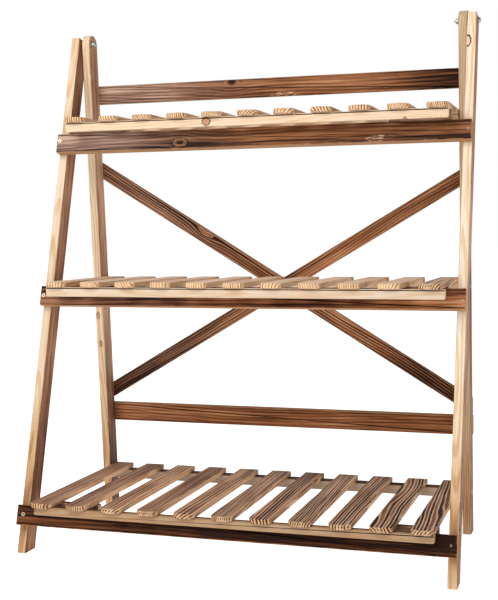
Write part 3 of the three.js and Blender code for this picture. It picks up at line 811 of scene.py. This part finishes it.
def metal(name, colour, roughness, stain, stain_colour):
    """Plated steel: small dull patches from noise on the object's own coordinates, fine brush marks in the
    gloss, and painted shade, near black, where a point attribute says that the metal is recessed in a slot."""
    material = bpy.data.materials.new(name)
    material.use_nodes = True
    nodes, links = material.node_tree.nodes, material.node_tree.links
    shader = nodes["Principled BSDF"]
    place = nodes.new("ShaderNodeTexCoord").outputs["Object"]
    patches, marks = nodes.new("ShaderNodeTexNoise"), nodes.new("ShaderNodeTexNoise")
    for node, scale, detail in ((patches, 420.0, 3.0), (marks, 2600.0, 2.0)):
        links.new(place, node.inputs["Vector"])
        node.inputs["Scale"].default_value = scale
        node.inputs["Detail"].default_value = detail
    stained = nodes.new("ShaderNodeMapRange")
    links.new(patches.outputs["Fac"], stained.inputs[0])
    stained.inputs[1].default_value, stained.inputs[2].default_value = 0.48, 0.66
    stained.inputs[4].default_value = stain
    # painted shade: the recessed cross slots are darkened to near black
    slot_shade = nodes.new("ShaderNodeAttribute")
    slot_shade.attribute_name = "slot_shade"
    tint, slot_darkening = nodes.new("ShaderNodeMix"), nodes.new("ShaderNodeMix")
    tint.data_type = slot_darkening.data_type = "RGBA"
    links.new(stained.outputs[0], tint.inputs[0])
    tint.inputs[6].default_value, tint.inputs[7].default_value = (*colour, 1), (*stain_colour, 1)
    links.new(slot_shade.outputs["Fac"], slot_darkening.inputs[0])
    links.new(tint.outputs[2], slot_darkening.inputs[6])
    slot_darkening.inputs[7].default_value = (0.02, 0.012, 0.008, 1)
    links.new(slot_darkening.outputs[2], shader.inputs["Base Color"])
    gloss = nodes.new("ShaderNodeMapRange")
    links.new(marks.outputs["Fac"], gloss.inputs[0])
    gloss.inputs[3].default_value, gloss.inputs[4].default_value = roughness - 0.1, roughness + 0.15
    links.new(gloss.outputs[0], shader.inputs["Roughness"])
    shader.inputs["Metallic"].default_value = 1.0
    return material


zinc = metal("zinc_plate", (0.52, 0.51, 0.48), 0.30, 0.7, (0.18, 0.16, 0.14))
pin_length = REAR_LEG_OUTER - PIN_START
pin_profile = [
    (0, AXIS_POINT), (0, PIN_RADIUS - 0.0005), (0.0006, PIN_RADIUS), (pin_length, PIN_RADIUS),
    (pin_length, PIN_HEAD - 0.0003), (pin_length + 0.0003, PIN_HEAD), (pin_length + 0.0007, PIN_HEAD),
    (pin_length + 0.0010, PIN_HEAD - 0.0006), (pin_length + 0.0011, AXIS_POINT),
]
for tier in shelf_kinds:
    pivot = next(joint["pos_m"] for joint in frame["joints"] if joint["child"] == f"shelf_{tier}")
    for side, way in (("left", -1), ("right", 1)):
        start = (way * PIN_START, pivot[1], pivot[2])
        pin = turned(f"pivot_pin_{tier}_{side}", pin_profile, start, (way, 0, 0))
        fit(pin, zinc, f"shelf_{tier}", "zinc")


# ---------- screws and nail ----------
# Countersunk cross-head screws: one in each end of every rail and brace, and from below through the battens
# and blocks into the slats. A round nail head shows on the first slat of the lowest shelf.
def screw_heads(name, places, outward, radius=0.0035):
    """Screw heads in one mesh. A head is a disc of rings times angles, its height a shallow crown less the
    cross slot: depth falls off smoothly outside two crossed bars. The rim turns down into the wood."""
    outward, side_way, third = square_to(outward)
    share = np.array([0.02, 0.16, 0.30, 0.44, 0.58, 0.76, 0.92, 1.0, 1.0])
    angle = np.linspace(0, 2 * math.pi, 24, endpoint=False) + 0.4
    a, b = np.cos(angle)[None] * share[:, None], np.sin(angle)[None] * share[:, None]
    cross_turn = 0.5
    c, s = math.cos(cross_turn), math.sin(cross_turn)
    bars = np.minimum(np.abs(a * c - b * s), np.abs(a * s + b * c))
    slot = np.clip((0.24 - bars) / 0.08, 0, 1) * np.clip((0.66 - share[:, None]) / 0.12, 0, 1)
    crown, crown_fall, slot_depth, rim = 0.00030, 0.00012, 0.0011, -0.0012
    rise = (crown - crown_fall * share**4)[:, None] - slot_depth * slot
    rise[-1] = rim
    head = a[..., None] * radius * side_way + b[..., None] * radius * third + rise[..., None] * outward
    rings, count = len(share), len(angle)
    starts = np.arange(len(places)) * rings * count
    faces = []
    for part in (rings_joined(rings, count).tolist(), end_caps(rings, count)):
        faces += [[int(start) + point for point in face[::-1]] for start in starts for face in part]
    co = np.concatenate([(head + place).reshape(-1, 3) for place in np.asarray(places, float)])
    made = bpy.data.meshes.new(name)
    made.from_pydata(co, [], faces)
    made.polygons.foreach_set("use_smooth", [True] * len(faces))
    made.set_sharp_from_angle(angle=math.radians(50))
    # the slot's share is kept on the points, for the metal to darken as painted shade
    slot_shades = np.tile(slot.astype(np.float32).ravel(), len(places))
    made.attributes.new("slot_shade", "FLOAT", "POINT").data.foreach_set("value", slot_shades)
    made.update()
    piece = bpy.data.objects.new(name, made)
    bpy.context.scene.collection.objects.link(piece)
    return piece


screw_steel = metal("yellow_zinc", (0.80, 0.70, 0.50), 0.40, 0.4, (0.40, 0.32, 0.20))
# the right-hand front screws get a darker copy of the plating: painted shade
shaded_steel = metal("shaded_zinc", (0.42, 0.36, 0.28), 0.45, 0.7, (0.16, 0.11, 0.07))
rail_screws = {  # place along and across each front rail, of the left screw and the right one
    "lower": ((-0.450, 0.023), (0.453, 0.0225)),
    "middle": ((-0.4575, 0.022), (0.459, 0.018)),
    "upper": ((-0.4585, 0.027), (0.458, 0.0215)),
}
front_screws = (("left", 0.0040, screw_steel), ("right", 0.0024, shaded_steel))
front_out = (0, -math.cos(FRONT_LEAN), math.sin(FRONT_LEAN))
for tier, places in rail_screws.items():
    z0 = up_ladder(front_rail_heights[tier], FRONT_LEG_FACE, FRONT_LEAN)
    for (x, v), (side, radius, steel) in zip(places, front_screws):
        spot = front(x, rail_face, z0 + v)
        head = screw_heads(f"front_rail_screw_{tier}_{side}", [spot], front_out, radius)
        fit(head, steel, "front_frame", "zinc")

rear_out = (0, math.cos(REAR_LEAN), -math.sin(REAR_LEAN))
back_screw_places = (-0.435, 0.435)
rail_back, brace_back = back_plane + RAIL_THICKNESS, back_plane + BRACE_THICKNESS
back_spots = []
for height in back_rail_heights.values():
    z = up_ladder(height, REAR_LEG_BACK, REAR_LEAN) + RAIL_HEIGHT / 2
    back_spots += [rear(x, rail_back, z) for x in back_screw_places]
for centre, slope in (falling, rising):
    back_spots += [rear(x, brace_back, centre + x * math.tan(slope)) for x in back_screw_places]
fit(screw_heads("back_screws", back_spots, rear_out), screw_steel, "rear_frame", "zinc")

slat_places = np.linspace(-SHELF_HALF_WIDTH + half_slat, SHELF_HALF_WIDTH - half_slat, SLAT_COUNT)
for tier in shelf_kinds:
    spots = []
    for node in (f"front_batten_{tier}", f"rear_batten_{tier}"):
        low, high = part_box(node)
        spots += [(x, (low.y + high.y) / 2, low.z) for x in slat_places]
    for side in ("left", "right"):
        low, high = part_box(f"lock_block_{tier}_{side}")
        spots += [(x, (low.y + high.y) / 2, low.z) for x in (low.x + 0.025, high.x - 0.025)]
    fit(screw_heads(f"shelf_screws_{tier}", spots, (0, 0, -1)), screw_steel, f"shelf_{tier}", "zinc")

nail_profile = [
    (-0.001, AXIS_POINT), (-0.001, 0.0018), (0.0, 0.0019), (0.00035, 0.0018), (0.0006, 0.0011),
    (0.0007, AXIS_POINT),
]
nail_place = (-0.4066, -0.1853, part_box("slat_lower_01")[1].z)
fit(turned("slat_nail", nail_profile, nail_place, (0, 0, 1), steps=20), zinc, "shelf_lower", "zinc")

# ---------- hinge bolts and nuts ----------
# Zinc plated M6 bolts with a low domed head and a washer outside, and a chamfered nut on a washer inside.
# Their thread is cut over the inner 15 mm.
BOLT_RADIUS, THREAD_RADIUS, THREAD_DEPTH, THREAD_PITCH = 0.0030, 0.00285, 0.00022, 0.001
THREAD_FROM, THREAD_TO = 0.0008, 0.0155
WASHER_RADIUS, HEAD_RADIUS, HEAD_HEIGHT, HEAD_DOME = 0.0080, 0.0060, 0.0040, 0.0028
NUT_RADIUS, NUT_BORE = 0.0058, 0.0033


def thread(along, angle):
    """A saw's teeth round the shaft: depth times how far the turn over one pitch is from its middle."""
    teeth = np.abs(((along / THREAD_PITCH + angle / (2 * math.pi)) % 1.0) * 2 - 1)
    return np.where((along > THREAD_FROM) & (along < THREAD_TO), THREAD_DEPTH * teeth, 0.0)


def hexagon(along, angle, length):
    """What takes a circle in to a hexagon: radius times (cos 30 degrees / cos of the angle from the flat's
    middle - 1), between the nut's two chamfered ends. length is that of the nut and its washer."""
    sixth = math.pi / 3
    flats = math.cos(sixth / 2) / np.cos((angle + sixth / 2) % sixth - sixth / 2) - 1
    return np.where((along > 0.0005) & (along < length - 0.0016), NUT_RADIUS * flats, 0.0)


def from_the_middle(node):
    """How far a node's inner and outer end are from the stand's middle."""
    low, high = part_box(node)
    return min(abs(low.x), abs(high.x)), max(abs(low.x), abs(high.x))


for side, way in (("left", -1), ("right", 1)):
    inner, outer = from_the_middle(f"hinge_bolt_{side}")
    length = outer - inner
    seat = length - HEAD_HEIGHT
    profile = [(0, AXIS_POINT), (0, 0.0023), (0.0006, 0.0029)]
    profile += [(0.0006 + 0.00025 * k, THREAD_RADIUS) for k in range(1, 60)]
    profile += [(0.0165, BOLT_RADIUS), (seat - 0.0015, BOLT_RADIUS), (seat - 0.0015, WASHER_RADIUS - 0.0003)]
    profile += [(seat - 0.0012, WASHER_RADIUS), (seat - 0.0003, WASHER_RADIUS)]
    profile += [(seat, WASHER_RADIUS - 0.0003), (seat, HEAD_RADIUS)]
    dome = np.linspace(0, math.pi / 2, 9)[1:][::-1]
    profile += [(length - HEAD_DOME + HEAD_DOME * math.cos(a), HEAD_RADIUS * math.sin(a)) for a in dome]
    profile += [(length, AXIS_POINT)]
    centre = (way * inner, hinge_y, hinge_z)
    bolt = turned(f"hinge_bolt_{side}_turned", profile, centre, (way, 0, 0), steps=40, wave=thread)
    fit(bolt, zinc, "rear_frame", "zinc", f"hinge_bolt_{side}")

    inner, outer = from_the_middle(f"hinge_nut_{side}")
    length = outer - inner
    washer = length - 0.0015
    profile = [(0, NUT_BORE), (0, 0.0046), (0.0004, 0.0052), (0.0007, NUT_RADIUS)]
    profile += [(washer - 0.0003, NUT_RADIUS), (washer, 0.0054), (washer, WASHER_RADIUS - 0.0003)]
    profile += [(washer + 0.0003, WASHER_RADIUS), (length - 0.0003, WASHER_RADIUS)]
    profile += [(length, WASHER_RADIUS - 0.0003), (length, NUT_BORE)]
    centre = (way * inner, hinge_y, hinge_z)
    nut = turned(
        f"hinge_nut_{side}_turned", profile, centre, (way, 0, 0), steps=48,
        wave=lambda along, angle: hexagon(along, angle, length),
    )
    fit(nut, zinc, "rear_frame", "zinc", f"hinge_nut_{side}")

# ---------- floor, backdrop and light ----------
# A white paper floor that glows a little, as a lit sweep does, under an even white room, with one large soft
# lamp above and before the stand and a faint one at its right.
FLOOR_REACH = 30
floor_mesh = bpy.data.meshes.new("floor")
corners = [(x * FLOOR_REACH, y * FLOOR_REACH, 0) for x, y in ((-1, -1), (1, -1), (1, 1), (-1, 1))]
floor_mesh.from_pydata(corners, [], [(0, 1, 2, 3)])
floor = bpy.data.objects.new("floor", floor_mesh)
bpy.context.scene.collection.objects.link(floor)
paper = bpy.data.materials.new("paper")
paper.use_nodes = True
paper_shader = paper.node_tree.nodes["Principled BSDF"]
paper_shader.inputs["Base Color"].default_value = (0.80, 0.80, 0.80, 1)
paper_shader.inputs["Roughness"].default_value = 0.9
paper_shader.inputs["Emission Color"].default_value = (1, 1, 1, 1)
paper_shader.inputs["Emission Strength"].default_value = 0.80
floor_mesh.materials.append(paper)

# the room looks white to the camera, and lights the stand less than that
room_light, room_seen = 0.42, 1.0
world = bpy.data.worlds.new("studio")
bpy.context.scene.world = world
world.use_nodes = True
backdrop = world.node_tree.nodes["Background"]
backdrop.inputs["Color"].default_value = (1, 1, 1, 1)
rays = world.node_tree.nodes.new("ShaderNodeLightPath")
strength = world.node_tree.nodes.new("ShaderNodeMapRange")
strength.inputs[3].default_value, strength.inputs[4].default_value = room_light, room_seen
world.node_tree.links.new(rays.outputs["Is Camera Ray"], strength.inputs[0])
world.node_tree.links.new(strength.outputs[0], backdrop.inputs["Strength"])

LAMPS_AIM = np.array([0, 0, 0.75])
lamps = (("key_light", (-0.7, -1.9, 2.3), 1.6, 53), ("side_light", (2.2, -1.2, 1.5), 1.4, 4.5))
for name, place, size, power in lamps:
    lamp = bpy.data.lights.new(name, "AREA")
    lamp.size = size
    lamp.energy = power
    light = bpy.data.objects.new(name, lamp)
    bpy.context.scene.collection.objects.link(light)
    light.location = place
    aim = LAMPS_AIM - np.array(place)
    light.rotation_euler = (math.atan2(math.hypot(aim[0], aim[1]), -aim[2]), 0, math.atan2(-aim[0], aim[1]))
bpy.context.scene.view_settings.view_transform = "Standard"
